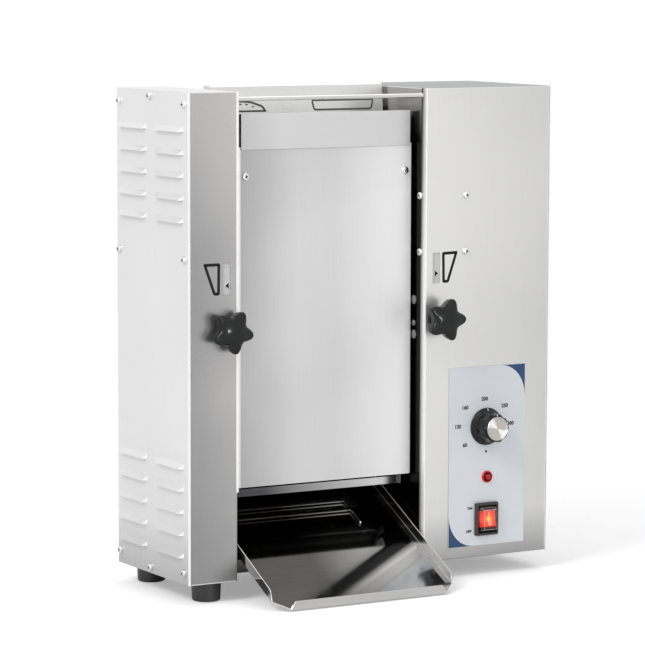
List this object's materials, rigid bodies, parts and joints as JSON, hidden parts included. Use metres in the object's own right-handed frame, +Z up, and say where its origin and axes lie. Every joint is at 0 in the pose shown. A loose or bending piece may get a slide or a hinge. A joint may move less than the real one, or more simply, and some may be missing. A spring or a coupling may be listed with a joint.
{
  "type": "vertical contact toaster",
  "caption": "Countertop vertical contact toaster: upright heated platen between two belt conveyors, star-knob gap adjusters, thermostat, rocker switch and sloping pull-out tray.",
  "frame": {"origin": "on the surface it stands on, under the middle of its overall box", "axes": "+X to the right seen from the front, +Y to the back, +Z up"},
  "size_m": [0.486, 0.2728, 0.572],
  "materials": {
    "brushed_steel": "brushed stainless sheet",
    "light_steel": "satin stainless sheet",
    "bright_steel": "polished stainless",
    "dark_steel": "dark heat-stained steel",
    "machine_steel": "turned steel",
    "cast_plate": "cast plate, satin",
    "release_cloth": "coated cloth, satin",
    "belt": "coated belt, satin",
    "bronze": "turned bronze",
    "nylon": "natural nylon",
    "motor_grey": "painted, semi-gloss",
    "black_plastic": "moulded, gloss",
    "black_rubber": "moulded rubber",
    "panel": "printed panel, satin",
    "red_lens": "clear red"
  },
  "bodies": {
    "chassis": {"left_housing": "light_steel", "right_housing": "light_steel", "left_side_cover": "light_steel", "right_side_cover": "light_steel", "front_conveyor_cover": "light_steel", "front_bun_guide": "light_steel", "centre_bun_guide": "light_steel", "rear_bun_guide": "light_steel", "rear_cover": "brushed_steel", "cover_crossbar": "brushed_steel", "base_plate": "brushed_steel", "left_adjuster_bracket": "brushed_steel", "right_adjuster_bracket": "brushed_steel", "rear_chute": "brushed_steel", "thermostat_body": "brushed_steel", "tie_rod": "bright_steel", "left_chamber_liner": "dark_steel", "platen_element": "dark_steel", "tray_support": "dark_steel", "idler_stud": "machine_steel", "front_platen": "cast_plate", "rear_platen": "cast_plate", "release_sheet": "release_cloth", "front_left_bushing": "bronze", "front_right_bushing": "bronze", "rear_left_bushing": "bronze", "rear_right_bushing": "bronze", "gear_motor": "motor_grey", "switch_housing": "black_plastic", "cord_gland": "black_plastic", "front_left_foot": "black_rubber", "rear_left_foot": "black_rubber", "front_right_foot": "black_rubber", "rear_right_foot": "black_rubber", "control_panel": "panel", "pilot_lamp": "red_lens"},
    "front_conveyor": {"front_conveyor_frame": "brushed_steel", "front_belt": "belt", "front_lower_bar": "bright_steel"},
    "rear_conveyor": {"rear_conveyor_frame": "brushed_steel", "rear_belt": "belt"},
    "front_upper_roller": {"front_upper_shaft": "machine_steel", "front_gear": "nylon"},
    "rear_upper_roller": {"rear_upper_shaft": "machine_steel", "rear_gear": "nylon"},
    "front_lower_roller": {"front_lower_shaft": "machine_steel"},
    "rear_lower_roller": {"rear_lower_shaft": "machine_steel"},
    "motor_output": {"motor_gear": "nylon"},
    "idler": {"idler_gear": "nylon"},
    "thermostat_dial": {"thermostat_knob": "black_plastic", "thermostat_cap": "bright_steel"},
    "rocker": {"power_rocker": "red_lens"},
    "left_adjuster": {"left_star_knob": "black_plastic", "left_adjuster_spindle": "machine_steel"},
    "right_adjuster": {"right_star_knob": "black_plastic", "right_adjuster_spindle": "machine_steel"},
    "left_gap_pointer": {"left_pointer": "black_plastic"},
    "right_gap_pointer": {"right_pointer": "black_plastic"},
    "discharge_tray": {"tray": "bright_steel", "tray_wire_guide": "bright_steel"}
  },
  "joints": [
    {"name": "front_drive_turn", "type": "hinge", "parent": "chassis", "child": "front_upper_roller", "pos_m": [-0.04975, -0.0019, 0.502], "axis": [1, 0, 0], "continuous": true},
    {"name": "motor_turn", "type": "hinge", "parent": "chassis", "child": "motor_output", "pos_m": [0.0757, 0.0276, 0.47499], "axis": [1, 0, 0], "continuous": true},
    {"name": "idler_turn", "type": "hinge", "parent": "chassis", "child": "idler", "pos_m": [0.0757, 0.0676, 0.47499], "axis": [1, 0, 0], "continuous": true},
    {"name": "rear_drive_turn", "type": "hinge", "parent": "chassis", "child": "rear_upper_roller", "pos_m": [-0.04975, 0.0971, 0.502], "axis": [1, 0, 0], "continuous": true},
    {"name": "front_conveyor_swing", "type": "hinge", "parent": "chassis", "child": "front_conveyor", "pos_m": [-0.04975, -0.0019, 0.502], "axis": [1, 0, 0], "range_deg": [-0.7, 0.21]},
    {"name": "rear_conveyor_swing", "type": "hinge", "parent": "chassis", "child": "rear_conveyor", "pos_m": [-0.04975, 0.0971, 0.502], "axis": [1, 0, 0], "range_deg": [-0.21, 0.7]},
    {"name": "front_return_turn", "type": "hinge", "parent": "front_conveyor", "child": "front_lower_roller", "pos_m": [-0.04975, -0.0019, 0.147], "axis": [1, 0, 0], "continuous": true},
    {"name": "rear_return_turn", "type": "hinge", "parent": "rear_conveyor", "child": "rear_lower_roller", "pos_m": [-0.04975, 0.0971, 0.147], "axis": [1, 0, 0], "continuous": true},
    {"name": "left_gap_turn", "type": "hinge", "parent": "chassis", "child": "left_adjuster", "pos_m": [-0.1912, -0.0519, 0.305], "axis": [0, 1, 0], "range_deg": [-61, 201]},
    {"name": "right_gap_turn", "type": "hinge", "parent": "chassis", "child": "right_adjuster", "pos_m": [0.0828, -0.0519, 0.305], "axis": [0, 1, 0], "range_deg": [-61, 201]},
    {"name": "left_pointer_slide", "type": "slide", "parent": "chassis", "child": "left_gap_pointer", "axis": [0, 0, 1], "range_m": [-0.0061, 0.0201]},
    {"name": "right_pointer_slide", "type": "slide", "parent": "chassis", "child": "right_gap_pointer", "axis": [0, 0, 1], "range_m": [-0.0061, 0.0201]},
    {"name": "thermostat_turn", "type": "hinge", "parent": "chassis", "child": "thermostat_dial", "pos_m": [0.151, -0.0519, 0.175], "axis": [0, 1, 0], "range_deg": [-178, 86]},
    {"name": "rocker_tilt", "type": "hinge", "parent": "chassis", "child": "rocker", "pos_m": [0.151, -0.0519, 0.0665], "axis": [1, 0, 0], "range_deg": [0, 18]},
    {"name": "tray_pull", "type": "slide", "parent": "chassis", "child": "discharge_tray", "axis": [0, -1, 0], "range_m": [0, 0.18]}
  ],
  "couplings": [
    {"joint": "motor_turn", "follows": "front_drive_turn", "ratio": -1},
    {"joint": "idler_turn", "follows": "front_drive_turn", "ratio": 1},
    {"joint": "rear_drive_turn", "follows": "front_drive_turn", "ratio": -1},
    {"joint": "front_return_turn", "follows": "front_drive_turn", "ratio": 1},
    {"joint": "rear_return_turn", "follows": "front_drive_turn", "ratio": -1},
    {"joint": "left_gap_turn", "follows": "front_conveyor_swing", "ratio": -285.71},
    {"joint": "left_pointer_slide", "follows": "front_conveyor_swing", "m_per_rad": -1.637},
    {"joint": "right_gap_turn", "follows": "rear_conveyor_swing", "ratio": 285.71},
    {"joint": "right_pointer_slide", "follows": "rear_conveyor_swing", "m_per_rad": 1.637}
  ]
}
